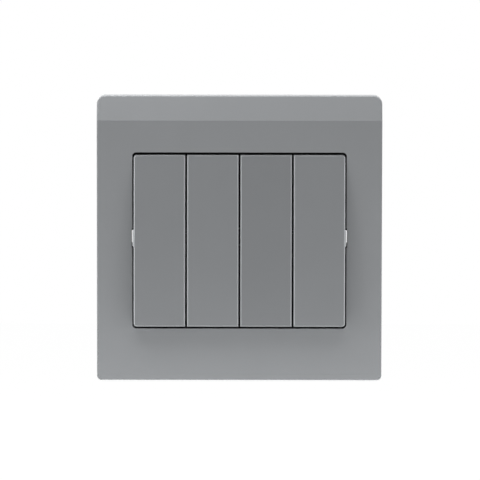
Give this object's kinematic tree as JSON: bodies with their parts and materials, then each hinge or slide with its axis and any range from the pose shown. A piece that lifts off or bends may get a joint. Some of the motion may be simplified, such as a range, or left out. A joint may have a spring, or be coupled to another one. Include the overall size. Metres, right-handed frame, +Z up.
{
  "type": "light switch",
  "caption": "Square multi-gang wall light switch: a satin grey clip-on plate with a sloping top band and tall curved rockers, each snapping its own sprung contact over.",
  "frame": {"origin": "middle of the plate on the wall plane, halfway between the two wall screw slots", "axes": "+Z up, +X to the right as seen from the room, +Y into the wall; the front faces -Y"},
  "size_m": [0.086, 0.036, 0.086],
  "materials": {
    "plate_grey": "satin, fine moulded grain",
    "rocker_grey": "satin, fine moulded grain",
    "frame_plastic": "dark graphite, moulded",
    "base_plastic": "dark grey, moulded",
    "lever_plastic": "dark grey acetal",
    "plunger_plastic": "natural acetal",
    "spring_steel": "drawn wire and rolled strip",
    "contact_brass": "stamped",
    "contact_silver": "welded silver alloy tips",
    "screw_steel": "zinc plated"
  },
  "bodies": {
    "base": {"faceplate": "plate_grey", "mounting_frame": "frame_plastic", "base_housing": "base_plastic", "housing_screws": "screw_steel", "fixed_contacts": "contact_silver", "common_clamps": "spring_steel", "switched_clamps": "spring_steel", "common_terminal_1": "contact_brass", "common_terminal_2": "contact_brass", "common_terminal_3": "contact_brass", "common_terminal_4": "contact_brass", "switched_terminal_1": "contact_brass", "switched_terminal_2": "contact_brass", "switched_terminal_3": "contact_brass", "switched_terminal_4": "contact_brass"},
    "rocker_body_1": {"rocker_1": "rocker_grey", "rocker_lever_1": "lever_plastic", "plunger_spring_1": "spring_steel"},
    "plunger_body_1": {"plunger_1": "plunger_plastic"},
    "arm_body_1": {"contact_arm_1": "contact_brass", "arm_contact_1": "contact_silver"},
    "rocker_body_2": {"rocker_2": "rocker_grey", "rocker_lever_2": "lever_plastic", "plunger_spring_2": "spring_steel"},
    "plunger_body_2": {"plunger_2": "plunger_plastic"},
    "arm_body_2": {"contact_arm_2": "contact_brass", "arm_contact_2": "contact_silver"},
    "rocker_body_3": {"rocker_3": "rocker_grey", "rocker_lever_3": "lever_plastic", "plunger_spring_3": "spring_steel"},
    "plunger_body_3": {"plunger_3": "plunger_plastic"},
    "arm_body_3": {"contact_arm_3": "contact_brass", "arm_contact_3": "contact_silver"},
    "rocker_body_4": {"rocker_4": "rocker_grey", "rocker_lever_4": "lever_plastic", "plunger_spring_4": "spring_steel"},
    "plunger_body_4": {"plunger_4": "plunger_plastic"},
    "arm_body_4": {"contact_arm_4": "contact_brass", "arm_contact_4": "contact_silver"}
  },
  "joints": [
    {"name": "rocker_tilt_1", "type": "hinge", "parent": "base", "child": "rocker_body_1", "pos_m": [-0.018, -0.006, -0.00075], "axis": [1, 0, 0], "range_deg": [0, 6]},
    {"name": "plunger_slide_1", "type": "slide", "parent": "rocker_body_1", "child": "plunger_body_1", "axis": [0, 0.9986, -0.0523], "range_m": [-0.001, 0], "stiffness_N_per_m": 400, "springref_m": 0.005, "deforming": ["plunger_spring_1"]},
    {"name": "arm_swing_1", "type": "hinge", "parent": "base", "child": "arm_body_1", "pos_m": [-0.018, 0.0109, -0.00075], "axis": [1, 0, 0], "range_deg": [-15, 0]},
    {"name": "rocker_tilt_2", "type": "hinge", "parent": "base", "child": "rocker_body_2", "pos_m": [-0.006, -0.006, -0.00075], "axis": [1, 0, 0], "range_deg": [0, 6]},
    {"name": "plunger_slide_2", "type": "slide", "parent": "rocker_body_2", "child": "plunger_body_2", "axis": [0, 0.9986, -0.0523], "range_m": [-0.001, 0], "stiffness_N_per_m": 400, "springref_m": 0.005, "deforming": ["plunger_spring_2"]},
    {"name": "arm_swing_2", "type": "hinge", "parent": "base", "child": "arm_body_2", "pos_m": [-0.006, 0.0109, -0.00075], "axis": [1, 0, 0], "range_deg": [-15, 0]},
    {"name": "rocker_tilt_3", "type": "hinge", "parent": "base", "child": "rocker_body_3", "pos_m": [0.006, -0.006, -0.00075], "axis": [1, 0, 0], "range_deg": [0, 6]},
    {"name": "plunger_slide_3", "type": "slide", "parent": "rocker_body_3", "child": "plunger_body_3", "axis": [0, 0.9986, -0.0523], "range_m": [-0.001, 0], "stiffness_N_per_m": 400, "springref_m": 0.005, "deforming": ["plunger_spring_3"]},
    {"name": "arm_swing_3", "type": "hinge", "parent": "base", "child": "arm_body_3", "pos_m": [0.006, 0.0109, -0.00075], "axis": [1, 0, 0], "range_deg": [-15, 0]},
    {"name": "rocker_tilt_4", "type": "hinge", "parent": "base", "child": "rocker_body_4", "pos_m": [0.018, -0.006, -0.00075], "axis": [1, 0, 0], "range_deg": [0, 6]},
    {"name": "plunger_slide_4", "type": "slide", "parent": "rocker_body_4", "child": "plunger_body_4", "axis": [0, 0.9986, -0.0523], "range_m": [-0.001, 0], "stiffness_N_per_m": 400, "springref_m": 0.005, "deforming": ["plunger_spring_4"]},
    {"name": "arm_swing_4", "type": "hinge", "parent": "base", "child": "arm_body_4", "pos_m": [0.018, 0.0109, -0.00075], "axis": [1, 0, 0], "range_deg": [-15, 0]}
  ],
  "couplings": [
    {"joint": "arm_swing_1", "follows": "rocker_tilt_1", "ratio": -2.5},
    {"joint": "arm_swing_2", "follows": "rocker_tilt_2", "ratio": -2.5},
    {"joint": "arm_swing_3", "follows": "rocker_tilt_3", "ratio": -2.5},
    {"joint": "arm_swing_4", "follows": "rocker_tilt_4", "ratio": -2.5}
  ]
}
